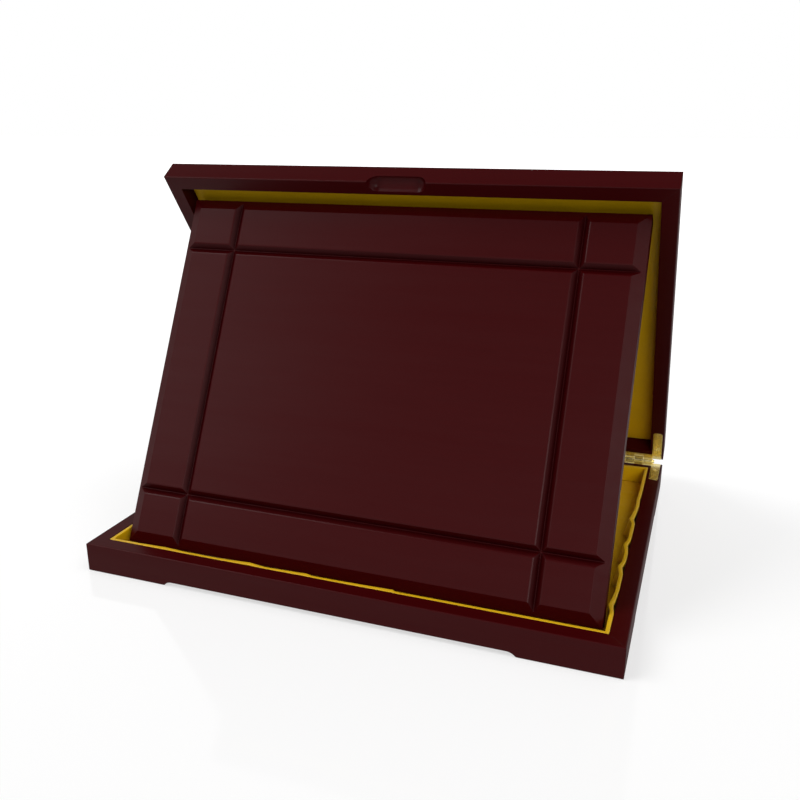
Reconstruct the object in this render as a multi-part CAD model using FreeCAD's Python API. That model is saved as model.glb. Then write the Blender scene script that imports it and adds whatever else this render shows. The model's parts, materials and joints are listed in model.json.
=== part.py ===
import FreeCAD, Part
import math
import os

# Presentation case with a standing plaque, shown open with the lid leaning on the plaque.
# Millimetres. X runs along the hinges, Y from the front to the hinges, Z up.
# The origin is on the table, under the middle of the open case.

V = FreeCAD.Vector

# Case
CASE_W = 300.0
CASE_D = 237.0
BASE_H = 17.0
LID_H = 13.6
WALL = 8.8
EDGE_R = 0.6
REVEAL = 1.0

# Feet: the rails are relieved between the corners
FOOT_LEN = 50.5
RELIEF_H = 2.5
RELIEF_R = 6.25

# Bottom panel, held in a rebate under the rails
PANEL_T = 2.5
PANEL_LIFT = 2.6
PANEL_REBATE = 3.0
PANEL_PLAY = 0.1

# Lid panel, let in flush with the top of the rails
LID_PANEL_T = 3.0
LID_REBATE = 4.0

# Loose tongues across the mitres
SPLINE_T = 2.0
SPLINE_W = 6.0
SPLINE_PLAY = 0.05
SPLINE_INSET = 2.2
SPLINE_UNDER_PANEL = 1.1

# Finger scoop in the lid's front edge
SCOOP_R = 6.0
SCOOP_LEN = 35.0
SCOOP_IN = 0.7
SCOOP_DROP = 0.8

# Satin linings
FLOOR_LINING_T = 0.8
LID_LINING_T = 1.5
LINING_PLAY = 0.2
WALL_LINING_T = 2.0
FOLD_OFF_WALL = 1.4
END_FOLD_SLACK = 0.35
LINING_BELOW_RIM = 1.2
# Where the folds stand, as shares of each wall's length from its left end as seen from outside
FRONT_FOLDS = (0.131, 0.319, 0.441, 0.614)
BACK_FOLDS = (0.120, 0.251, 0.365, 0.517, 0.641, 0.758, 0.875)
RIGHT_FOLDS = (0.121, 0.313, 0.436, 0.595, 0.732, 0.875)
LEFT_FOLDS = (0.123, 0.273, 0.406, 0.565, 0.693, 0.820)

# Corner hinges
ARM_LEN = 30.5
ARM_W = 6.0
ARM_END_R = 2.0
ARM_FROM_SIDE = 1.3
BACK_LEG_W = 5.0
LEAF_T = 1.2
LEAF_PLAY = 0.1
KNUCKLE_LEN = 6.1
KNUCKLE_COUNT = 5
KNUCKLE_R = 1.9
KNUCKLE_PLAY = 0.1
PIN_R = 0.9
PIN_PLAY = 0.05
PIN_HEAD_R = 1.75
PIN_HEAD_T = 1.5
PIN_BEHIND = 2.5
INNER_CORNER_R = 1.0

# Hinge screws
SCREW_HEAD_R = 1.6
SCREW_SINK = 0.8
SCREW_SHANK_R = 0.8
SCREW_LEN = 6.5
SCREW_TIP = 1.2
SCREW_PLAY = 0.03
ARM_SCREW_FROM_BACK = 12.0
LEG_SCREW_FROM_END = 6.0

# Plaque, which fits between the folds when it lies in the tray
PLAQUE_T = 15.0
PLAQUE_SIDE_GAP = 1.05
PLAQUE_END_GAP = 0.55
BEVEL_W = 6.6
BEVEL_DEEP = 3.6
GROOVE_HALF_W = 3.4
GROOVE_DEEP = 2.4
GROOVE_BOTTOM_HALF_W = 0.25
GROOVE_EASED_W = 0.6
GROOVE_EASED_DEEP = 0.2
GROOVE_FROM_SIDE = 33.8
GROOVE_FROM_END = 31.8
# The standing plaque: its heel on the floor and its upper back edge under the lid's lining,
# each measured from the inside of the front wall
PLAQUE_GAP = 0.2
HEEL_FROM_WALL = 22.1
BEARING_FROM_WALL = 21.1

# Places that follow from the sizes above
FRONT_Y = -CASE_D / 2
BACK_Y = CASE_D / 2
SIDE_X = CASE_W / 2
INNER_W = CASE_W - 2 * WALL
INNER_D = CASE_D - 2 * WALL
PANEL_TOP = PANEL_LIFT + PANEL_T
FLOOR_TOP = PANEL_TOP + FLOOR_LINING_T
LID_RIM = BASE_H + REVEAL
LID_TOP = LID_RIM + LID_H
LID_PANEL_LOW = LID_TOP - LID_PANEL_T
LID_LINING_LOW = LID_PANEL_LOW - LID_LINING_T
PIN_Y = BACK_Y + PIN_BEHIND
PIN_Z = BASE_H + REVEAL / 2
ARM_X1 = SIDE_X - ARM_FROM_SIDE
ARM_X0 = ARM_X1 - ARM_W
KNUCKLE_X1 = ARM_X0
KNUCKLE_X0 = KNUCKLE_X1 - KNUCKLE_COUNT * KNUCKLE_LEN
LEAF_Y0 = BACK_Y - BACK_LEG_W
FOLD_REACH = FOLD_OFF_WALL + WALL_LINING_T
PLAQUE_W = INNER_W - 2 * (FOLD_REACH + PLAQUE_SIDE_GAP)
PLAQUE_H = INNER_D - 2 * (FOLD_REACH + PLAQUE_END_GAP)

# Pin, heel and bearing edge make a triangle, which gives the lid's angle and the plaque's lean
HEEL_Y = FRONT_Y + WALL + HEEL_FROM_WALL
HEEL_Z = FLOOR_TOP + PLAQUE_GAP
HEEL_RUN = PIN_Y - HEEL_Y
HEEL_DROP = PIN_Z - HEEL_Z
BEARING_RUN = PIN_Y - (FRONT_Y + WALL + BEARING_FROM_WALL)
BEARING_RISE = LID_LINING_LOW - PLAQUE_GAP - PIN_Z
PIN_TO_HEEL = math.hypot(HEEL_RUN, HEEL_DROP)
PIN_TO_BEARING = math.hypot(BEARING_RUN, BEARING_RISE)
AT_PIN = math.acos(
    (PIN_TO_HEEL**2 + PIN_TO_BEARING**2 - PLAQUE_H**2) / (2 * PIN_TO_HEEL * PIN_TO_BEARING)
)
BEARING_UP = AT_PIN - math.atan2(HEEL_DROP, HEEL_RUN)
OPEN = BEARING_UP - math.atan2(BEARING_RISE, BEARING_RUN)
BEARING_Y = PIN_Y - PIN_TO_BEARING * math.cos(BEARING_UP)
BEARING_Z = PIN_Z + PIN_TO_BEARING * math.sin(BEARING_UP)
LEAN = math.atan2(BEARING_Y - HEEL_Y, BEARING_Z - HEEL_Z)

OPEN_BACK_Y = PIN_Y - PIN_BEHIND * math.cos(OPEN) + (LID_TOP - PIN_Z) * math.sin(OPEN)
ORIGIN_Y = (FRONT_Y + OPEN_BACK_Y) / 2
# How far a cutting tool runs past what it cuts
PAST = 1.0


def block(x0, x1, y0, y1, z0, z1):
    return Part.makeBox(x1 - x0, y1 - y0, z1 - z0, V(x0, y0, z0))


def prism(edges, along):
    return Part.Face(Part.Wire(edges)).extrude(along)


def lines(points):
    return [Part.makeLine(a, b) for a, b in zip(points, points[1:])]


def rounded(corners):
    """A closed outline through (point, radius) corners, each turned by an arc of that radius."""
    starts = []
    ends = []
    arcs = []
    for i, (point, radius) in enumerate(corners):
        back = (corners[i - 1][0] - point).normalize()
        ahead = (corners[(i + 1) % len(corners)][0] - point).normalize()
        half = back.getAngle(ahead) / 2
        reach = radius / math.tan(half)
        starts.append(point + back * reach)
        ends.append(point + ahead * reach)
        middle = point + (back + ahead).normalize() * (radius / math.sin(half) - radius)
        arcs.append((radius, middle))
    edges = []
    for i, (radius, middle) in enumerate(arcs):
        if radius:
            edges.append(Part.Arc(starts[i], middle, ends[i]).toShape())
        edges.append(Part.makeLine(ends[i], starts[(i + 1) % len(starts)]))
    return edges


def turned(shape, degrees):
    shape.rotate(V(), V(0, 0, 1), degrees)
    return shape


def mirrored(shape):
    return shape.mirror(V(), V(1, 0, 0))


def opened(shape):
    """Swing a piece of the lid from closed to the shown angle."""
    shape.rotate(V(0, PIN_Y, PIN_Z), V(1, 0, 0), -math.degrees(OPEN))
    return shape


# Rails

# Each rail is a front rail of its own length and distance from the middle, turned into place.
SIDES = {
    "front": (CASE_W, CASE_D / 2, 0),
    "right": (CASE_D, CASE_W / 2, 90),
    "back": (CASE_W, CASE_D / 2, 180),
    "left": (CASE_D, CASE_W / 2, 270),
}


def mitred(section, length, reach):
    """A bar of the given section along X, cut to 45 degrees at both ends."""
    bar = section.extrude(V(length, 0, 0))
    outer = length / 2
    inner = outer - WALL
    plan = [
        V(-outer, -reach, 0),
        V(outer, -reach, 0),
        V(inner, -reach + WALL, 0),
        V(-inner, -reach + WALL, 0),
        V(-outer, -reach, 0),
    ]
    return bar.common(prism(lines(plan), V(0, 0, LID_TOP)))


def base_section(length, reach):
    x = -length / 2
    outer = -reach
    inner = -reach + WALL
    step = inner - PANEL_REBATE
    corners = [
        (V(x, outer, 0), EDGE_R),
        (V(x, step, 0), 0),
        (V(x, step, PANEL_TOP), 0),
        (V(x, inner, PANEL_TOP), 0),
        (V(x, inner, BASE_H), 0),
        (V(x, outer, BASE_H), EDGE_R),
    ]
    return Part.Face(Part.Wire(rounded(corners)))


def lid_section(length, reach):
    x = -length / 2
    outer = -reach
    inner = -reach + WALL
    step = inner - LID_REBATE
    corners = [
        (V(x, outer, LID_RIM), EDGE_R),
        (V(x, inner, LID_RIM), 0),
        (V(x, inner, LID_PANEL_LOW), 0),
        (V(x, step, LID_PANEL_LOW), 0),
        (V(x, step, LID_TOP), 0),
        (V(x, outer, LID_TOP), EDGE_R),
    ]
    return Part.Face(Part.Wire(rounded(corners)))


def relief(length, reach):
    """The shallow gap under a base rail, with a cove at each foot."""
    half = length / 2 - FOOT_LEN
    run = math.sqrt(RELIEF_R**2 - (RELIEF_R - RELIEF_H) ** 2)
    sweep = math.asin(run / RELIEF_R) / 2
    mid_in = run - RELIEF_R * math.sin(sweep)
    mid_up = RELIEF_H - RELIEF_R * (1 - math.cos(sweep))
    y = -reach - PAST
    foot_l = V(-half, y, 0)
    foot_r = V(half, y, 0)
    top_l = V(-half + run, y, RELIEF_H)
    top_r = V(half - run, y, RELIEF_H)
    edges = [
        Part.Arc(foot_l, V(-half + mid_in, y, mid_up), top_l).toShape(),
        Part.makeLine(top_l, top_r),
        Part.Arc(top_r, V(half - mid_in, y, mid_up), foot_r).toShape(),
    ]
    edges += lines([foot_r, V(half, y, -PAST), V(-half, y, -PAST), foot_l])
    return prism(edges, V(0, WALL + 2 * PAST, 0))


def base_rail(side):
    length, reach, angle = SIDES[side]
    rail = mitred(base_section(length, reach), length, reach)
    return turned(rail.cut(relief(length, reach)), angle)


def lid_rail(side):
    length, reach, angle = SIDES[side]
    rail = mitred(lid_section(length, reach), length, reach)
    if side == "front":
        rail = rail.cut(finger_scoop())
    return turned(rail, angle)


def finger_scoop():
    """A round-ended cove along the lid's front edge."""
    half = SCOOP_LEN / 2 - SCOOP_R
    centre = V(0, FRONT_Y + SCOOP_IN, LID_RIM - SCOOP_DROP)
    tool = Part.makeCylinder(SCOOP_R, 2 * half, centre - V(half, 0, 0), V(1, 0, 0))
    for end in (-half, half):
        tool = tool.fuse(Part.makeSphere(SCOOP_R, centre + V(end, 0, 0)))
    return tool


def splines(low, high, play):
    """One loose tongue across each of the four mitres."""
    tongues = []
    for sx in (-1, 1):
        for sy in (-1, 1):
            tongue = block(
                -SPLINE_W / 2 - play,
                SPLINE_W / 2 + play,
                -SPLINE_T / 2 - play,
                SPLINE_T / 2 + play,
                low - play,
                high + play,
            )
            turned(tongue, -45 * sx * sy)
            tongue.translate(V(sx * (SIDE_X - WALL / 2), sy * (BACK_Y - WALL / 2), 0))
            tongues.append(tongue)
    return Part.makeCompound(tongues)


# Hinges. The right one is drawn; the left one is its mirror image.


def leaf_outline(grow, z):
    """The L of one leaf, grown all round for its pocket."""
    arm_end = BACK_Y - ARM_LEN - grow
    end_r = ARM_END_R + grow
    corners = [
        (V(ARM_X0 - grow, arm_end, z), end_r),
        (V(ARM_X1 + grow, arm_end, z), end_r),
        (V(ARM_X1 + grow, BACK_Y + grow, z), 0),
        (V(KNUCKLE_X0 - grow, BACK_Y + grow, z), 0),
        (V(KNUCKLE_X0 - grow, LEAF_Y0 - grow, z), 0),
        (V(ARM_X0 - grow, LEAF_Y0 - grow, z), INNER_CORNER_R),
    ]
    return rounded(corners)


def screw(x, y, play):
    """A countersunk screw with its head flush with the base's rim."""
    head = SCREW_HEAD_R + play
    shank = SCREW_SHANK_R + play
    foot = -SCREW_LEN - play
    profile = [
        V(0, 0, play),
        V(head, 0, play),
        V(head, 0, 0),
        V(shank, 0, -SCREW_SINK),
        V(shank, 0, foot + SCREW_TIP),
        V(0, 0, foot),
        V(0, 0, play),
    ]
    if not play:
        del profile[1]
    face = Part.Face(Part.makePolygon(profile))
    turn = face.revolve(V(), V(0, 0, 1), 360)
    turn.translate(V(x, y, BASE_H))
    return turn


def leaf_screws(play):
    on_arm = screw((ARM_X0 + ARM_X1) / 2, BACK_Y - ARM_SCREW_FROM_BACK, play)
    on_leg = screw(KNUCKLE_X0 + LEG_SCREW_FROM_END, (LEAF_Y0 + BACK_Y) / 2, play)
    return Part.makeCompound([on_arm, on_leg])


def leaf(knuckles):
    """One leaf lying in the base's rim, with its knuckles rolled round the pin."""
    plate = prism(leaf_outline(0, BASE_H - LEAF_T), V(0, 0, LEAF_T))
    for i in knuckles:
        x0 = KNUCKLE_X0 + i * KNUCKLE_LEN + KNUCKLE_PLAY
        x1 = x0 + KNUCKLE_LEN - 2 * KNUCKLE_PLAY
        strap = block(x0, x1, BACK_Y - PAST, PIN_Y, BASE_H - LEAF_T, BASE_H)
        barrel = Part.makeCylinder(KNUCKLE_R, x1 - x0, V(x0, PIN_Y, PIN_Z), V(1, 0, 0))
        plate = plate.fuse(strap).fuse(barrel)
    bore_len = KNUCKLE_X1 - KNUCKLE_X0 + 2 * PAST
    bore = Part.makeCylinder(
        PIN_R + PIN_PLAY, bore_len, V(KNUCKLE_X0 - PAST, PIN_Y, PIN_Z), V(1, 0, 0)
    )
    return plate.cut(bore).cut(leaf_screws(SCREW_PLAY)).removeSplitter()


def hinge_pin():
    """A riveted pin with a head at each end of the knuckles."""
    length = KNUCKLE_X1 - KNUCKLE_X0
    start = V(KNUCKLE_X0, PIN_Y, PIN_Z)
    pin = Part.makeCylinder(PIN_R, length, start, V(1, 0, 0))
    near = Part.makeCone(PIN_HEAD_R, PIN_R, PIN_HEAD_T, start, V(-1, 0, 0))
    far = Part.makeCone(PIN_HEAD_R, PIN_R, PIN_HEAD_T, start + V(length, 0, 0), V(1, 0, 0))
    return pin.fuse(near).fuse(far)


def leaf_pocket():
    """What the base's rim loses to one leaf: its L and its screws."""
    pocket = prism(leaf_outline(LEAF_PLAY, BASE_H - LEAF_T), V(0, 0, LEAF_T + PAST))
    return Part.makeCompound([pocket] + leaf_screws(SCREW_PLAY).Solids)


def onto_lid(shape):
    """Mirror a leaf, pocket or screw of the base into the closed lid."""
    return shape.mirror(V(0, 0, PIN_Z), V(0, 0, 1))


# Linings


def scallops(stations, low):
    """Arcs from fold to fold, which sag back to the wall between them."""
    edges = []
    for i, (a, b) in enumerate(zip(stations, stations[1:])):
        at_end = i in (0, len(stations) - 2)
        sag = min(a.y, b.y) + END_FOLD_SLACK if at_end else a.y - FOLD_OFF_WALL
        dip = V((a.x + b.x) / 2, sag, low)
        edges.append(Part.Arc(a, dip, b).toShape())
    return edges


def pleated(side, folds):
    """A strip of gathered satin along one wall of the tray, pinched off the wall at each fold."""
    full, half, angle = SIDES[side]
    right = full / 2 - WALL
    wall = WALL - half
    low = FLOOR_TOP
    outer = [V((2 * share - 1) * right, wall + FOLD_OFF_WALL, low) for share in folds]
    inner = [point + V(0, WALL_LINING_T, 0) for point in outer]
    outer = [V(-right, wall, low)] + outer + [V(right, wall, low)]
    end = WALL_LINING_T
    inner = [V(end - right, wall + end, low)] + inner + [V(right - end, wall + end, low)]
    edges = scallops(outer, low)
    edges.append(Part.makeLine(outer[-1], inner[-1]))
    edges += scallops(inner, low)[::-1]
    edges.append(Part.makeLine(inner[0], outer[0]))
    strip = prism(Part.__sortEdges__(edges), V(0, 0, BASE_H - LINING_BELOW_RIM - low))
    return turned(strip, angle)


def floor_lining():
    x = INNER_W / 2 - LINING_PLAY
    y = INNER_D / 2 - LINING_PLAY
    return block(-x, x, -y, y, PANEL_TOP, FLOOR_TOP)


def lid_lining():
    x = INNER_W / 2 - LINING_PLAY
    y = INNER_D / 2 - LINING_PLAY
    return block(-x, x, -y, y, LID_LINING_LOW, LID_PANEL_LOW)


# Panels and plaque


def bottom_panel():
    x = INNER_W / 2 + PANEL_REBATE - PANEL_PLAY
    y = INNER_D / 2 + PANEL_REBATE - PANEL_PLAY
    return block(-x, x, -y, y, PANEL_LIFT, PANEL_TOP)


def lid_panel():
    x = INNER_W / 2 + LID_REBATE - PANEL_PLAY
    y = INNER_D / 2 + LID_REBATE - PANEL_PLAY
    return block(-x, x, -y, y, LID_PANEL_LOW, LID_TOP)


def plaque_upright():
    """The board standing on its lower edge, its face at Y 0 towards the front."""
    half = PLAQUE_W / 2
    board = block(-half, half, 0, PLAQUE_T, 0, PLAQUE_H)
    bevel = [V(0, 0, 0), V(BEVEL_W, 0, 0), V(0, BEVEL_DEEP, 0), V(0, 0, 0)]
    eased = GROOVE_HALF_W - GROOVE_EASED_W
    groove = [
        V(-GROOVE_HALF_W, 0, 0),
        V(GROOVE_HALF_W, 0, 0),
        V(eased, GROOVE_EASED_DEEP, 0),
        V(GROOVE_BOTTOM_HALF_W, GROOVE_DEEP, 0),
        V(-GROOVE_BOTTOM_HALF_W, GROOVE_DEEP, 0),
        V(-eased, GROOVE_EASED_DEEP, 0),
        V(-GROOVE_HALF_W, 0, 0),
    ]
    cuts = []
    for x, outline in ((GROOVE_FROM_SIDE, groove), (0, bevel)):
        cut = prism(lines(outline), V(0, 0, PLAQUE_H))
        cut.translate(V(x - half, 0, 0))
        cuts += [cut, mirrored(cut)]
    for z, outline in ((GROOVE_FROM_END, groove), (0, bevel)):
        across = [V(0, p.y, p.x) for p in outline]
        cut = prism(lines(across), V(PLAQUE_W, 0, 0))
        cut.translate(V(-half, 0, z))
        cuts += [cut, cut.mirror(V(0, 0, PLAQUE_H / 2), V(0, 0, 1))]
    for cut in cuts:
        board = board.cut(cut)
    return board


def plaque():
    """The board leaning back, its heel on the floor and its upper back edge under the lid."""
    board = plaque_upright()
    board.translate(V(0, -PLAQUE_T, 0))
    board.rotate(V(), V(1, 0, 0), -math.degrees(LEAN))
    board.translate(V(0, HEEL_Y, HEEL_Z))
    return board


# The assembly


def build():
    nodes = {}
    base_low = PANEL_TOP + SPLINE_INSET
    base_high = BASE_H - LEAF_T - SPLINE_INSET
    lid_low = LID_RIM + LEAF_T + SPLINE_INSET
    lid_high = LID_PANEL_LOW - SPLINE_UNDER_PANEL
    pockets = [leaf_pocket(), mirrored(leaf_pocket())]
    base_slots = splines(base_low, base_high, SPLINE_PLAY)
    lid_slots = splines(lid_low, lid_high, SPLINE_PLAY)

    for side in SIDES:
        rail = base_rail(side).cut(base_slots)
        lid = lid_rail(side).cut(lid_slots)
        if side != "front":
            for pocket in pockets:
                rail = rail.cut(pocket)
                lid = lid.cut(onto_lid(pocket))
        nodes[f"base_{side}_rail"] = rail
        nodes[f"lid_{side}_rail"] = opened(lid)

    nodes["base_corner_splines"] = splines(base_low, base_high, 0)
    nodes["base_bottom_panel"] = bottom_panel()
    nodes["tray_floor_lining"] = floor_lining()
    nodes["tray_front_lining"] = pleated("front", FRONT_FOLDS)
    nodes["tray_back_lining"] = pleated("back", BACK_FOLDS)
    nodes["tray_left_lining"] = pleated("left", LEFT_FOLDS)
    nodes["tray_right_lining"] = pleated("right", RIGHT_FOLDS)

    nodes["lid_corner_splines"] = opened(splines(lid_low, lid_high, 0))
    nodes["lid_top_panel"] = opened(lid_panel())
    nodes["lid_lining"] = opened(lid_lining())

    screws = leaf_screws(0)
    for hand, place in (("right", lambda shape: shape), ("left", mirrored)):
        nodes[f"{hand}_hinge_base_leaf"] = place(leaf(range(0, KNUCKLE_COUNT, 2)))
        nodes[f"{hand}_hinge_lid_leaf"] = opened(place(onto_lid(leaf(range(1, KNUCKLE_COUNT, 2)))))
        nodes[f"{hand}_hinge_pin"] = place(hinge_pin())
    both = screws.Solids + mirrored(screws).Solids
    nodes["hinge_base_screws"] = Part.makeCompound(both)
    nodes["hinge_lid_screws"] = opened(onto_lid(Part.makeCompound(both)))

    nodes["plaque_board"] = plaque()
    return nodes


def main():
    os.makedirs("parts", exist_ok=True)
    for name, shape in build().items():
        shape.translate(V(0, -ORIGIN_Y, 0))
        shape.exportStep(f"parts/{name}.step")
        print(name, len(shape.Solids), round(shape.Volume, 1), shape.isValid())


main()
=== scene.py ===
import json
import math

import bpy
from mathutils import Matrix, Vector, noise


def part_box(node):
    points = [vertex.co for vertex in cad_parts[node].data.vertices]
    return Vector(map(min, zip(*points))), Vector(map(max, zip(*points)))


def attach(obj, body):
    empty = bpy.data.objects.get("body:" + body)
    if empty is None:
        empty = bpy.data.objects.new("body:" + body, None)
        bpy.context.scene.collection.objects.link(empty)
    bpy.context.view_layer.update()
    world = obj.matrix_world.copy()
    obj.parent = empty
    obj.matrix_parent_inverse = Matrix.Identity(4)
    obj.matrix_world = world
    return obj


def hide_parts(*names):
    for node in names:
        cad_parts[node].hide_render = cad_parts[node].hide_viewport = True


# Presentation case with a standing plaque. Metres; MM turns a size in millimetres into metres.

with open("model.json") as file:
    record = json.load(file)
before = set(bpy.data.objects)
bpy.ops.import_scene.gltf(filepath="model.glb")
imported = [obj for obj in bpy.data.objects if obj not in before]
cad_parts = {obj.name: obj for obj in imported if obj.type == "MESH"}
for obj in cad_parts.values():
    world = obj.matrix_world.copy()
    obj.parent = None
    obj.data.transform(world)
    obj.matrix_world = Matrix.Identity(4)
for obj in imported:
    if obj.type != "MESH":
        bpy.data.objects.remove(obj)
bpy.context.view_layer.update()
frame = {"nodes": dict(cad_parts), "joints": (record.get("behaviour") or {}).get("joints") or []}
MM = 0.001
nodes = frame["nodes"]


# Places read from the CAD pieces

RIM_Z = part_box("base_front_rail")[1].z
FLOOR_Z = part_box("base_bottom_panel")[1].z
WALL_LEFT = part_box("base_left_rail")[1].x
WALL_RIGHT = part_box("base_right_rail")[0].x
WALL_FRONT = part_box("base_front_rail")[1].y
WALL_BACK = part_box("base_back_rail")[0].y
PIN = Vector(next(j for j in frame["joints"] if j["name"] == "lid_hinge")["pos_m"])


def lid_angle():
    """How far the lid stands open, from the largest face of its panel."""
    largest = max(nodes["lid_top_panel"].data.polygons, key=lambda face: face.area)
    normal = largest.normal if largest.normal.z > 0 else -largest.normal
    return math.atan2(normal.y, normal.z)


LID_OPEN = lid_angle()
TO_OPEN_LID = Matrix.Translation(PIN) @ Matrix.Rotation(-LID_OPEN, 4, "X") @ Matrix.Translation(-PIN)
TO_CLOSED_LID = TO_OPEN_LID.inverted()


# Small tools

# A Mix node's sockets when it mixes colours: factor, first and second colour, and its result
MIX_BY, MIX_FROM, MIX_TO, MIXED = 0, 6, 7, 2


def colour(hex_value):
    """An sRGB hex colour as linear RGBA."""
    channels = [int(hex_value[i:i + 2], 16) / 255 for i in (1, 3, 5)]
    return [c / 12.92 if c <= 0.04045 else ((c + 0.055) / 1.055) ** 2.4 for c in channels] + [1.0]


def add(tree, kind, inputs=None, **settings):
    """Add one shader node. Inputs are values, or the sockets that feed them."""
    made = tree.nodes.new("ShaderNode" + kind)
    for key, value in settings.items():
        setattr(made, key, value)
    for key, value in (inputs or {}).items():
        if isinstance(value, bpy.types.NodeSocket):
            tree.links.new(value, made.inputs[key])
        else:
            made.inputs[key].default_value = value
    return made


def new_material(name):
    """An empty node tree, ready for a shader."""
    material = bpy.data.materials.new(name)
    material.use_nodes = True
    material.node_tree.nodes.clear()
    return material, material.node_tree


def per_metre(size_mm):
    """The scale of a noise texture whose features are this many millimetres across."""
    return 1000 / size_mm


def deselect():
    if bpy.context.object and bpy.context.object.mode != "OBJECT":
        bpy.ops.object.mode_set(mode="OBJECT")
    bpy.ops.object.select_all(action="DESELECT")


def activate(piece):
    deselect()
    piece.select_set(True)
    bpy.context.view_layer.objects.active = piece


def apply_modifiers(piece):
    """Apply the piece's modifiers in order."""
    activate(piece)
    for modifier in list(piece.modifiers):
        bpy.ops.object.modifier_apply(modifier=modifier.name)


def settle_in_place():
    """Put the active object's place and scale into its mesh."""
    bpy.ops.object.transform_apply(location=True, rotation=True, scale=True)


# Lacquered wood

GRAIN_MM, GRAIN_STRETCH = 2.2, 0.06
STAIN_CLOUD_MM = 70
RUBBING_MM = 9
SPRAYED_SKIN_MM = 1.6
# Painted shade in grooves and corners: how far the occlusion looks, the occlusion at which the shade is full,
# and the occlusion at which it ends
GROOVE_SHADE_REACH = 6 * MM
GROOVE_SHADE_FULL_BELOW, GROOVE_SHADE_NONE_ABOVE = 0.6, 0.97
FILM_THIN, FILM_THICK = 0.18, 0.22
WOOD_EDGE_R = 0.25 * MM


def lacquered_mahogany(name, turn, lean=0):
    """Wood stained dark mahogany under a sprayed satin lacquer: an even red-brown with barely any grain,
    a soft reflection that wavers a little with the sprayed skin, faint rubbing marks, and painted shade
    in the grooves and corners, where ambient occlusion darkens the colour and thins the coat."""
    material, tree = new_material(name)
    here = add(tree, "TexCoord").outputs["Object"]
    place = add(tree, "Mapping", {"Vector": here, "Rotation": (lean, 0, 0)}).outputs[0]
    along = add(tree, "Mapping", {
        "Vector": place, "Rotation": (0, 0, turn), "Scale": (GRAIN_STRETCH, 1, 1)}).outputs[0]
    grain = add(tree, "TexNoise", {
        "Vector": along, "Scale": per_metre(GRAIN_MM), "Detail": 5.0, "Roughness": 0.6})
    cloud = add(tree, "TexNoise", {"Vector": place, "Scale": per_metre(STAIN_CLOUD_MM), "Detail": 2.0})
    stain = add(tree, "Mix", {
        MIX_BY: grain.outputs[0], MIX_FROM: colour("#360204"), MIX_TO: colour("#3e0406")}, data_type="RGBA")
    even = add(tree, "Mix", {
        MIX_BY: cloud.outputs[0], MIX_FROM: stain.outputs[MIXED], MIX_TO: colour("#3a0305")}, data_type="RGBA")
    # Painted shade: ambient occlusion darkens the colour towards #1c0102 in grooves and corners
    groove_occlusion = add(tree, "AmbientOcclusion", {"Distance": GROOVE_SHADE_REACH}, samples=8, only_local=True)
    clear = add(tree, "MapRange", {
        "Value": groove_occlusion.outputs["AO"], "From Min": GROOVE_SHADE_FULL_BELOW, "From Max": GROOVE_SHADE_NONE_ABOVE})
    tone = add(tree, "Mix", {
        MIX_BY: clear.outputs[0], MIX_FROM: colour("#1c0102"), MIX_TO: even.outputs[MIXED]}, data_type="RGBA")
    rubbed = add(tree, "TexNoise", {
        "Vector": along, "Scale": per_metre(RUBBING_MM), "Detail": 6.0, "Roughness": 0.7})
    film = add(tree, "MapRange", {
        "Value": rubbed.outputs[0], "From Min": 0.3, "From Max": 0.7, "To Min": FILM_THIN, "To Max": FILM_THICK})
    # Painted shade on the reflection too: the coat is thinned where the occlusion is
    gloss = add(tree, "Math", {0: film.outputs[0], 1: clear.outputs[0]}, operation="MULTIPLY")
    skin = add(tree, "TexNoise", {"Vector": place, "Scale": per_metre(SPRAYED_SKIN_MM), "Detail": 1.0})
    eased = add(tree, "Bevel", {"Radius": WOOD_EDGE_R}, samples=4)
    bump = add(tree, "Bump", {
        "Strength": 0.05, "Distance": 0.02 * MM, "Height": skin.outputs[0], "Normal": eased.outputs[0]})
    shader = add(tree, "BsdfPrincipled", {
        "Base Color": tone.outputs[MIXED], "Roughness": 0.5, "Normal": bump.outputs[0],
        "Specular IOR Level": 0.0, "Coat Weight": gloss.outputs[0], "Coat Roughness": 0.28,
        "Coat Normal": bump.outputs[0]})
    add(tree, "OutputMaterial", {"Surface": shader.outputs[0]})
    return material


# Bare board

FIBRE_MM = 0.8
BOARD_PATCH_MM = 25


def bare_fibreboard():
    """Pressed fibreboard with no finish: dull brown with short pale and dark fibres."""
    material, tree = new_material("bare_fibreboard")
    place = add(tree, "TexCoord").outputs["Object"]
    fibre = add(tree, "TexNoise", {
        "Vector": place, "Scale": per_metre(FIBRE_MM), "Detail": 6.0, "Roughness": 0.75})
    patch = add(tree, "TexNoise", {"Vector": place, "Scale": per_metre(BOARD_PATCH_MM), "Detail": 2.0})
    board = add(tree, "Mix", {
        MIX_BY: fibre.outputs[0], MIX_FROM: colour("#5e4328"), MIX_TO: colour("#a98459")}, data_type="RGBA")
    tone = add(tree, "Mix", {
        MIX_BY: patch.outputs[0], MIX_FROM: board.outputs[MIXED], MIX_TO: colour("#86653f")}, data_type="RGBA")
    bump = add(tree, "Bump", {"Strength": 0.4, "Distance": 0.1 * MM, "Height": fibre.outputs[0]})
    shader = add(tree, "BsdfPrincipled", {
        "Base Color": tone.outputs[MIXED], "Roughness": 0.85, "Normal": bump.outputs[0]})
    add(tree, "OutputMaterial", {"Surface": shader.outputs[0]})
    return material


# Satin

THREAD_MM, THREAD_STRETCH = 0.5, 0.12
SATIN_CLOUD_MM = 14
SATIN_WAVE_MM = 18
SATIN_WAVE_DEEP = 1.0 * MM
THREAD_DEEP = 0.06 * MM


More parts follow.
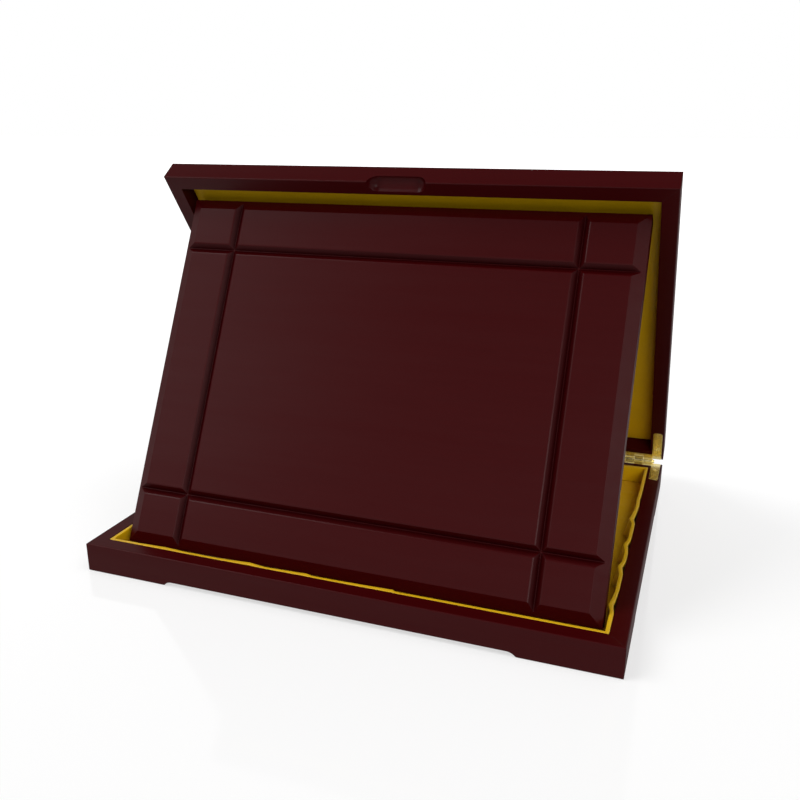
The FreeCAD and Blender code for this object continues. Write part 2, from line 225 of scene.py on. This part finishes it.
def yellow_satin():
    """Satin-woven polyester, golden yellow: long smooth floats catch the light along one direction, and
    the cloth lies in faint waves. Real threads are about 0.12 mm apart; they are drawn at 0.5 mm so that
    they can show."""
    material, tree = new_material("yellow_satin")
    weave = add(tree, "UVMap", uv_map="weave").outputs[0]
    threads = add(tree, "Mapping", {"Vector": weave, "Scale": (1, THREAD_STRETCH, 1)}).outputs[0]
    floats = add(tree, "TexNoise", {
        "Vector": threads, "Scale": per_metre(THREAD_MM), "Detail": 3.0, "Roughness": 0.6})
    soft = add(tree, "TexNoise", {"Vector": weave, "Scale": per_metre(SATIN_CLOUD_MM), "Detail": 3.0})
    cloth = add(tree, "Mix", {
        MIX_BY: floats.outputs[0], MIX_FROM: colour("#cfa000"), MIX_TO: colour("#e8bb0c")}, data_type="RGBA")
    tone = add(tree, "Mix", {
        MIX_BY: soft.outputs[0], MIX_FROM: cloth.outputs[MIXED], MIX_TO: colour("#d8a900")}, data_type="RGBA")
    slack = add(tree, "TexNoise", {"Vector": weave, "Scale": per_metre(SATIN_WAVE_MM), "Detail": 2.0})
    waves = add(tree, "Bump", {"Strength": 1.0, "Distance": SATIN_WAVE_DEEP, "Height": slack.outputs[0]})
    bump = add(tree, "Bump", {
        "Strength": 0.25, "Distance": THREAD_DEEP, "Height": floats.outputs[0], "Normal": waves.outputs[0]})
    shader = add(tree, "BsdfPrincipled", {
        "Base Color": tone.outputs[MIXED], "Roughness": 0.42, "Normal": bump.outputs[0],
        "Specular IOR Level": 0.35, "Sheen Weight": 0.15, "Sheen Roughness": 0.4,
        "Sheen Tint": colour("#ffe9a0"), "Anisotropic": 0.55})
    add(tree, "OutputMaterial", {"Surface": shader.outputs[0]})
    return material


# Brass

POLISH_LINE_MM, POLISH_STRETCH = 0.25, 0.08
TARNISH_MM = 7
DENT_MM = 0.7
DENT_DEEP = 0.15 * MM
BRASS_EDGE_R = 0.2 * MM


def polished_brass():
    """Stamped brass, polished along its length: bright yellow metal with fine lines, small dents that
    sparkle and a little tarnish."""
    material, tree = new_material("polished_brass")
    place = add(tree, "TexCoord").outputs["Object"]
    along = add(tree, "Mapping", {"Vector": place, "Scale": (POLISH_STRETCH, 1, 1)}).outputs[0]
    lines = add(tree, "TexNoise", {"Vector": along, "Scale": per_metre(POLISH_LINE_MM), "Detail": 3.0})
    tarnish = add(tree, "TexNoise", {"Vector": place, "Scale": per_metre(TARNISH_MM), "Detail": 2.0})
    tone = add(tree, "Mix", {
        MIX_BY: tarnish.outputs[0], MIX_FROM: colour("#e2ce80"), MIX_TO: colour("#f6e8ac")}, data_type="RGBA")
    rough = add(tree, "MapRange", {"Value": tarnish.outputs[0], "To Min": 0.19, "To Max": 0.29})
    eased = add(tree, "Bevel", {"Radius": BRASS_EDGE_R}, samples=4)
    dents = add(tree, "TexNoise", {"Vector": place, "Scale": per_metre(DENT_MM), "Detail": 2.0})
    stamped = add(tree, "Bump", {
        "Strength": 0.2, "Distance": DENT_DEEP, "Height": dents.outputs[0], "Normal": eased.outputs[0]})
    bump = add(tree, "Bump", {
        "Strength": 0.05, "Distance": 0.01 * MM, "Height": lines.outputs[0], "Normal": stamped.outputs[0]})
    shader = add(tree, "BsdfPrincipled", {
        "Base Color": tone.outputs[MIXED], "Metallic": 1.0, "Roughness": rough.outputs[0],
        "Normal": bump.outputs[0]})
    add(tree, "OutputMaterial", {"Surface": shader.outputs[0]})
    return material


LACQUER_X = lacquered_mahogany("lacquered_mahogany_along_x", 0)
LACQUER_Y = lacquered_mahogany("lacquered_mahogany_along_y", math.radians(90))
LACQUER_LID_Y = lacquered_mahogany("lacquered_mahogany_along_lid", math.radians(90), LID_OPEN)
FIBREBOARD = bare_fibreboard()
SATIN = yellow_satin()
BRASS = polished_brass()


def paint_cad_pieces():
    """Give every CAD piece its finish; the grain runs along each rail."""
    for name, piece in nodes.items():
        if "hinge" in name:
            finish = BRASS
        elif "splines" in name or "bottom_panel" in name:
            finish = FIBREBOARD
        elif "lining" in name:
            finish = SATIN
        elif name in ("lid_left_rail", "lid_right_rail"):
            finish = LACQUER_LID_Y
        elif name in ("base_left_rail", "base_right_rail"):
            finish = LACQUER_Y
        else:
            finish = LACQUER_X
        for slot in piece.material_slots:
            slot.material = finish
        if not piece.material_slots:
            piece.data.materials.append(finish)


paint_cad_pieces()


# Satin linings

SMOOTH_BELOW_DEG = 50

# Each kind of unevenness is read from a layer of its own
CREASE_LAYER, SLACK_LAYER, WAVE_LAYER, SWELL_LAYER, DIMPLE_LAYER = 1.0, 2.0, 3.0, 5.0, 7.0


def uneven(across, along, layer):
    """Smooth unevenness between about -1 and 1."""
    return noise.noise(Vector((across, along, layer)))


def cloth_grid(name, rows, thickness):
    """A sheet through rows of points, with its weave laid out in metres, thickened behind its face."""
    across, along = len(rows), len(rows[0])
    points = [point for row in rows for point in row]
    faces = []
    for i in range(across - 1):
        for j in range(along - 1):
            a = i * along + j
            faces.append((a, a + 1, a + along + 1, a + along))
    mesh = bpy.data.meshes.new(name)
    mesh.from_pydata(points, [], faces)
    run = [0.0]
    for a, b in zip(rows[0], rows[0][1:]):
        run.append(run[-1] + (Vector(b) - Vector(a)).length)
    drop = [0.0]
    for a, b in zip(rows, rows[1:]):
        drop.append(drop[-1] + (Vector(b[along // 2]) - Vector(a[along // 2])).length)
    weave = mesh.uv_layers.new(name="weave")
    for loop in mesh.loops:
        i, j = divmod(loop.vertex_index, along)
        weave.data[loop.index].uv = (run[j], drop[i])
    piece = bpy.data.objects.new(name, mesh)
    bpy.context.scene.collection.objects.link(piece)
    thick = piece.modifiers.new("cloth", "SOLIDIFY")
    thick.thickness = thickness
    thick.offset = -1
    apply_modifiers(piece)
    bpy.ops.object.shade_smooth_by_angle(angle=math.radians(SMOOTH_BELOW_DEG))
    mesh.materials.append(SATIN)
    return piece, run[-1], drop[-1]


# Satin on the tray's walls

FLOOR_CLOTH_ROOM = 0.8 * MM
STRIP_FOOT_Z = FLOOR_Z + FLOOR_CLOTH_ROOM
STRIP_CLOTH_T = 0.35 * MM
STRIP_T = 2.2 * MM
STRIP_EDGE_R = 0.55 * MM
STRIP_BELOW_RIM = 0.05 * MM
STRIP_OFF_WALL = 0.1 * MM
STRIP_OFF_FLOOR = 0.05 * MM
STRIP_TURN_DOWN = 1.0 * MM
STRIP_STEP = 1.0 * MM
EDGE_STEPS = 4
FACE_STEPS = 8

# How the strip hangs: its back follows a fold less than its face, and the face is slack between folds
BACK_FOLLOWS = 0.75
SLACK = 0.35 * MM
SLACK_PER_M, SLACK_SHIFT_PER_M = 60, 30
FOLD_SHARPNESS = 1.5
FLARE_REACH = 4.5 * MM
FLARE_GROWTH = 1.2
RIPPLE = 0.16 * MM
RIPPLE_BACK = 0.1 * MM
RIPPLES_ALONG_PER_M, RIPPLES_UP_PER_M, RIPPLE_SHIFT_PER_M = 260, 330, 40


def off_wall(s, folds):
    """How far the strip stands off its wall: a ridge at each fold that falls away on both sides."""
    off = 0.0
    for at, height, before, after, _ in folds:
        run = (at - s) / before if s <= at else (s - at) / after
        if run < 1:
            off = max(off, height * (1 - run) ** FOLD_SHARPNESS)
    return off


def fold_flare(s, folds):
    """How far a fold's ridge runs out into the tray at the floor."""
    return max(flare * math.exp(-((s - at) / FLARE_REACH) ** 2) for at, _, _, _, flare in folds)


def strip_section():
    """The strip's outline from behind its top edge to its foot: distance off the wall, height, and how far
    down its face. Also says how many of the points are behind."""
    top = RIM_Z - STRIP_BELOW_RIM
    r = STRIP_EDGE_R
    low = STRIP_FOOT_Z + STRIP_OFF_FLOOR
    turns = [math.radians(90 * step / EDGE_STEPS) for step in range(EDGE_STEPS + 1)]
    behind = [(STRIP_OFF_WALL, top - r - STRIP_TURN_DOWN * part, 0) for part in (1, 0.5)]
    behind += [(STRIP_OFF_WALL + r - r * math.cos(turn), top - r + r * math.sin(turn), 0) for turn in turns]
    face = [(STRIP_T - r + r * math.sin(turn), top - r + r * math.cos(turn), 0) for turn in turns]
    for step in range(1, FACE_STEPS + 1):
        down = step / FACE_STEPS
        face.append((STRIP_T, top - r - (top - r - low) * down, down))
    return behind + face, len(behind)


def wall_lining(name, start, ahead, inward, length, folds):
    """Satin over a strip of card: up the tray's wall, over the top, and a little way down behind."""
    folds = [tuple(size * MM for size in fold) for fold in folds]
    section, behind = strip_section()
    count = round(length / STRIP_STEP)
    rows = []
    for number, (out, z, down) in enumerate(section):
        row = []
        for k in range(count + 1):
            s = length * k / count
            off = off_wall(s, folds)
            if number < behind:
                off *= BACK_FOLLOWS
            else:
                loose = uneven(s * SLACK_PER_M, start.y * SLACK_SHIFT_PER_M, SLACK_LAYER)
                off = max(off, SLACK * (0.5 + 0.5 * loose))
            bumpy = uneven(s * RIPPLES_ALONG_PER_M, z * RIPPLES_UP_PER_M, start.x * RIPPLE_SHIFT_PER_M)
            ripple = max(bumpy * RIPPLE * down, -RIPPLE_BACK)
            away = off + out + fold_flare(s, folds) * down ** FLARE_GROWTH + ripple
            along = min(max(s, away), length - away)
            point = start + ahead * along + inward * away
            row.append((point.x, point.y, z))
        rows.append(row)
    return cloth_grid(name, rows, STRIP_CLOTH_T)


X, Y = Vector((1, 0, 0)), Vector((0, 1, 0))
FRONT_LEFT, FRONT_RIGHT = Vector((WALL_LEFT, WALL_FRONT, 0)), Vector((WALL_RIGHT, WALL_FRONT, 0))
BACK_LEFT, BACK_RIGHT = Vector((WALL_LEFT, WALL_BACK, 0)), Vector((WALL_RIGHT, WALL_BACK, 0))
WIDE = WALL_RIGHT - WALL_LEFT
DEEP = WALL_BACK - WALL_FRONT

# Each strip: where it starts, the way it runs, the way into the tray, its length, and its folds in millimetres.
# Each fold: place from the start, height, run before and after, spread at the floor
STRIPS = {
    "front": (FRONT_LEFT, X, Y, WIDE, [
        (37.2, 1.0, 34, 20, 0.6), (90.2, 1.6, 26, 12, 0.6), (124.2, 1.2, 28, 6, 0.6),
        (173.2, 1.3, 44, 1.6, 0.6)]),
    "right": (FRONT_RIGHT, Y, -X, DEEP, [
        (26.7, 1.7, 9, 18, 0.8), (68.7, 1.9, 12, 8, 2.4), (95.7, 1.8, 13, 9, 2.8),
        (130.7, 2.0, 7, 22, 3.0), (160.7, 0.6, 10, 16, 2.4)]),
    "back": (BACK_RIGHT, -X, -Y, WIDE, [
        (34, 1.5, 28, 5, 2.4), (71, 1.9, 30, 5, 3.0), (103, 1.6, 26, 6, 2.6), (146, 1.9, 34, 5, 3.0),
        (181, 1.8, 28, 6, 2.6), (214, 1.6, 26, 5, 2.8), (247, 1.5, 28, 6, 2.4)]),
    "left": (BACK_LEFT, -Y, X, DEEP, [
        (27, 1.5, 24, 5, 2.6), (60, 1.9, 28, 5, 3.0), (89, 1.8, 26, 6, 2.8), (124, 1.9, 32, 5, 2.6),
        (152, 1.6, 24, 5, 1.8), (180, 1.5, 24, 6, 0.8)]),
}

for side, (start, ahead, inward, length, folds) in STRIPS.items():
    strip, run, drop = wall_lining(f"{side}_wall_satin", start, ahead, inward, length, folds)
    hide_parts(f"tray_{side}_lining")
    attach(strip, "base")


# Satin on the tray's floor

EDGE_SHARES = (0.0, 0.12, 0.3, 0.55)
FLAT_CLOTH_T = 0.3 * MM
FLOOR_GAP = 0.3 * MM
FLOOR_STEP, FLOOR_EDGE = 3 * MM, 2 * MM
FLOOR_WAVE, FLOOR_DIMPLE, FLOOR_CREASE = 0.22 * MM, 0.08 * MM, 0.12 * MM
WAVES_X_PER_M, WAVES_Y_PER_M = 32, 28
DIMPLES_X_PER_M, DIMPLES_Y_PER_M = 90, 60
CREASE_TURN_PER_M, CREASE_REACH = 420, 9 * MM
CREASE_WANDER, WANDERS_PER_M = 3, 20


def spaced(low, high, step, edge):
    """Places from low to high, closer together beside both ends."""
    count = round((high - low - 2 * edge) / step)
    inner = [low + edge + (high - low - 2 * edge) * k / count for k in range(count + 1)]
    return [low + edge * n for n in EDGE_SHARES] + inner + [high - edge * n for n in reversed(EDGE_SHARES)]


def floor_cloth():
    """Satin laid on the tray's floor, with shallow waves and creases that run in from the walls."""
    rows = []
    for y in spaced(WALL_FRONT + FLOOR_GAP, WALL_BACK - FLOOR_GAP, FLOOR_STEP, FLOOR_EDGE):
        row = []
        for x in spaced(WALL_LEFT + FLOOR_GAP, WALL_RIGHT - FLOOR_GAP, FLOOR_STEP, FLOOR_EDGE):
            wave = uneven(x * WAVES_X_PER_M, y * WAVES_Y_PER_M, WAVE_LAYER) * FLOOR_WAVE
            dimple = uneven(x * DIMPLES_X_PER_M, y * DIMPLES_Y_PER_M, DIMPLE_LAYER) * FLOOR_DIMPLE
            near = min(x - WALL_LEFT, WALL_RIGHT - x, y - WALL_FRONT, WALL_BACK - y)
            wander = uneven(x * WANDERS_PER_M, y * WANDERS_PER_M, CREASE_LAYER) * CREASE_WANDER
            swing = math.sin((x + y) * CREASE_TURN_PER_M + wander)
            crease = swing * FLOOR_CREASE * math.exp(-near / CREASE_REACH)
            row.append((x, y, STRIP_FOOT_Z - FLAT_CLOTH_T + wave + dimple + crease))
        rows.append(row)
    return cloth_grid("floor_satin", rows, FLAT_CLOTH_T)


floor_satin, run, drop = floor_cloth()
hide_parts("tray_floor_lining")
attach(floor_satin, "base")


# Satin in the lid

LID_STEP = 4 * MM
LID_ROLL_CLEAR = 0.1 * MM
LID_PULL, LID_PULL_TURN_PER_M, LID_PULL_REACH = 0.05 * MM, 700, 7 * MM
LID_SWELL, LID_SWELLS_PER_M = 0.08 * MM, 25


def lid_cloth():
    """Satin drawn over a card and glued into the lid: flat, with rolled edges and faint pulls along them."""
    seat = [TO_CLOSED_LID @ v.co for v in nodes["lid_lining"].data.vertices]
    (low_x, high_x), (low_y, high_y), (open_side, glued) = [
        (min(p[axis] for p in seat), max(p[axis] for p in seat)) for axis in range(3)]
    roll = glued - open_side - LID_ROLL_CLEAR
    rows = []
    for y in reversed(spaced(low_y, high_y, LID_STEP, roll)):
        row = []
        for x in spaced(low_x, high_x, LID_STEP, roll):
            near = min(x - low_x, high_x - x, y - low_y, high_y - y)
            rise = roll - math.sqrt(max(roll ** 2 - max(roll - near, 0) ** 2, 0))
            pull = math.sin((x - y) * LID_PULL_TURN_PER_M) * LID_PULL * math.exp(-near / LID_PULL_REACH)
            swell = uneven(x * LID_SWELLS_PER_M, y * LID_SWELLS_PER_M, SWELL_LAYER) * LID_SWELL
            row.append(tuple(TO_OPEN_LID @ Vector((x, y, open_side + rise + max(pull + swell, 0)))))
        rows.append(row)
    return cloth_grid("lid_satin", rows, FLAT_CLOTH_T)


lid_satin, run, drop = lid_cloth()
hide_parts("lid_lining")
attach(lid_satin, "lid")


# Hinge screws with a cross recess

SCREW_HEAD_R = 1.6 * MM
SCREW_SHANK_R = 0.8 * MM
SCREW_SINK = 0.8 * MM
SCREW_HEAD_SIDES, SCREW_SHANK_SIDES = 40, 24
RECESS_LEN = 1.9 * MM
RECESS_W = 0.42 * MM
RECESS_DEEP = 0.5 * MM
RECESS_WEAR = 0.05 * MM
RECESS_FIRST_TURN, RECESS_NEXT_TURN = 25, 47
SCREW_SMOOTH_BELOW_DEG = 35
ARM_SCREWS_FROM_X = 130 * MM


def screw_model(length):
    """A countersunk screw standing head up, its top at the origin, with a cross pressed into it."""
    deselect()
    bpy.ops.mesh.primitive_cone_add(
        vertices=SCREW_HEAD_SIDES, radius1=SCREW_SHANK_R, radius2=SCREW_HEAD_R, depth=SCREW_SINK,
        location=(0, 0, -SCREW_SINK / 2))
    head = bpy.context.object
    settle_in_place()
    for arm_size in ((RECESS_LEN, RECESS_W, 2 * RECESS_DEEP), (RECESS_W, RECESS_LEN, 2 * RECESS_DEEP)):
        deselect()
        bpy.ops.mesh.primitive_cube_add(size=1, scale=arm_size)
        cutter = bpy.context.object
        settle_in_place()
        cut = head.modifiers.new("recess", "BOOLEAN")
        cut.operation = "DIFFERENCE"
        cut.solver = "EXACT"
        cut.object = cutter
        apply_modifiers(head)
        bpy.data.objects.remove(cutter)
    soften = head.modifiers.new("worn_edges", "BEVEL")
    soften.width = RECESS_WEAR
    soften.segments = 2
    soften.limit_method = "ANGLE"
    apply_modifiers(head)
    deselect()
    shank_len = length - SCREW_SINK
    bpy.ops.mesh.primitive_cylinder_add(
        vertices=SCREW_SHANK_SIDES, radius=SCREW_SHANK_R, depth=shank_len,
        location=(0, 0, -SCREW_SINK - shank_len / 2))
    shank = bpy.context.object
    settle_in_place()
    activate(head)
    shank.select_set(True)
    bpy.ops.object.join()
    bpy.ops.object.shade_smooth_by_angle(angle=math.radians(SCREW_SMOOTH_BELOW_DEG))
    return head


def screw_set(name, node, to_closed, head_up):
    """One body's four screws, each where the CAD has it, their recesses turned differently."""
    groups = {}
    for vertex in nodes[node].data.vertices:
        point = to_closed @ vertex.co
        groups.setdefault((point.x > 0, abs(point.x) > ARM_SCREWS_FROM_X), []).append(point)
    made = []
    for number, (_, points) in enumerate(sorted(groups.items())):
        (x0, x1), (y0, y1), (z0, z1) = [
            (min(p[axis] for p in points), max(p[axis] for p in points)) for axis in range(3)]
        piece = screw_model(z1 - z0)
        turn = Matrix.Rotation(math.radians(RECESS_FIRST_TURN + RECESS_NEXT_TURN * number), 4, "Z")
        flip = Matrix.Identity(4) if head_up else Matrix.Rotation(math.pi, 4, "X")
        seat = Matrix.Translation(((x0 + x1) / 2, (y0 + y1) / 2, z1 if head_up else z0))
        piece.data.transform(to_closed.inverted() @ seat @ flip @ turn)
        made.append(piece)
    activate(made[0])
    for piece in made[1:]:
        piece.select_set(True)
    bpy.ops.object.join()
    made[0].name = name
    made[0].data.materials.clear()
    made[0].data.materials.append(BRASS)
    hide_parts(node)
    return made[0]


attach(screw_set("base_hinge_screws", "hinge_base_screws", Matrix.Identity(4), True), "base")
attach(screw_set("lid_hinge_screws", "hinge_lid_screws", TO_CLOSED_LID, False), "lid")


# Table and room

TABLE_LIFT = 0.57
TABLE_SIZE = 40
TABLE_BELOW = 0.2 * MM
ROOM_LIGHT = 0.31
ROOM_WHITE_TO = 0.3
ROOM_DARK_FROM = 0.9
ROOM_OVERHEAD = 0.25


def where_seen(tree):
    """1 for what the camera sees, straight or by a reflection or through glass; 0 for light on things."""
    path = add(tree, "LightPath").outputs
    seen = add(tree, "Math", {0: path["Is Camera Ray"], 1: path["Is Glossy Ray"]}, operation="ADD")
    through = path["Is Transmission Ray"]
    return add(tree, "Math", {0: seen.outputs[0], 1: through}, operation="ADD", use_clamp=True).outputs[0]


def pale_table():
    """A smooth white table top with a faint polish."""
    material, tree = new_material("pale_table_top")
    paint = add(tree, "BsdfPrincipled", {
        "Base Color": colour("#b6b6b6"), "Roughness": 0.06, "Specular IOR Level": 0.3})
    strength = add(tree, "Math", {0: where_seen(tree), 1: TABLE_LIFT}, operation="MULTIPLY")
    glow = add(tree, "Emission", {"Color": colour("#ffffff"), "Strength": strength.outputs[0]})
    both = add(tree, "AddShader", {0: paint.outputs[0], 1: glow.outputs[0]})
    add(tree, "OutputMaterial", {"Surface": both.outputs[0]})
    return material


def white_room():
    """A plain pale room: white where it is seen, dimmer overhead, and an even soft light on everything else."""
    world = bpy.data.worlds.new("pale_room")
    bpy.context.scene.world = world
    world.use_nodes = True
    tree = world.node_tree
    tree.nodes.clear()
    light = add(tree, "Background", {"Color": colour("#ffffff"), "Strength": ROOM_LIGHT})
    up = add(tree, "SeparateXYZ", {0: add(tree, "TexCoord").outputs["Generated"]}).outputs["Z"]
    overhead = add(tree, "MapRange", {
        "Value": up, "From Min": ROOM_WHITE_TO, "From Max": ROOM_DARK_FROM,
        "To Min": 1.0, "To Max": ROOM_OVERHEAD})
    white = add(tree, "Background", {"Color": colour("#ffffff"), "Strength": overhead.outputs[0]})
    mixed = add(tree, "MixShader", {0: where_seen(tree), 1: light.outputs[0], 2: white.outputs[0]})
    add(tree, "OutputWorld", {"Surface": mixed.outputs[0]})


deselect()
bpy.ops.mesh.primitive_plane_add(size=TABLE_SIZE, location=(0, 0, -TABLE_BELOW))
table = bpy.context.object
table.name = "table_top"
settle_in_place()
table.data.materials.append(pale_table())
white_room()


# Lamps: each far and wide, so that it lights the whole table alike

# Name, the way its light goes, strength, spread in degrees
LAMPS = (
    ("upper_left_lamp", (0.6, 0.28, -0.75), 1.08, 30),
    ("left_lamp", (0.591, 0.656, -0.469), 0.15, 18),
    ("low_right_lamp", (-0.78, 0.46, -0.41), 0.2, 20),
    ("high_right_lamp", (-0.5, 0.0, -0.866), 0.6, 40),
    ("front_lamp", (-0.33, 0.84, -0.43), 0.8, 24),
)

for name, towards, strength, spread in LAMPS:
    lamp = bpy.data.lights.new(name, "SUN")
    lamp.energy = strength
    lamp.angle = math.radians(spread)
    holder = bpy.data.objects.new(name, lamp)
    holder.rotation_mode = "QUATERNION"
    holder.rotation_quaternion = Vector(towards).to_track_quat("-Z", "Y")
    bpy.context.scene.collection.objects.link(holder)


# Camera

CAMERA_PLACE = (0.168632, -0.476006, 0.242270)
CAMERA_YAW = 20.077
CAMERA_PITCH = 17.638
CAMERA_LENS = 38.483
CAMERA_SENSOR = 36
CAMERA_NEAR = 0.01

lens = bpy.data.cameras.new("view")
lens.lens = CAMERA_LENS
lens.sensor_width = CAMERA_SENSOR
lens.clip_start = CAMERA_NEAR
camera = bpy.data.objects.new("view", lens)
camera.location = CAMERA_PLACE
camera.rotation_euler = (math.radians(90 - CAMERA_PITCH), 0, math.radians(CAMERA_YAW))
bpy.context.scene.collection.objects.link(camera)
bpy.context.scene.camera = camera

bpy.context.scene.view_settings.view_transform = "Standard"
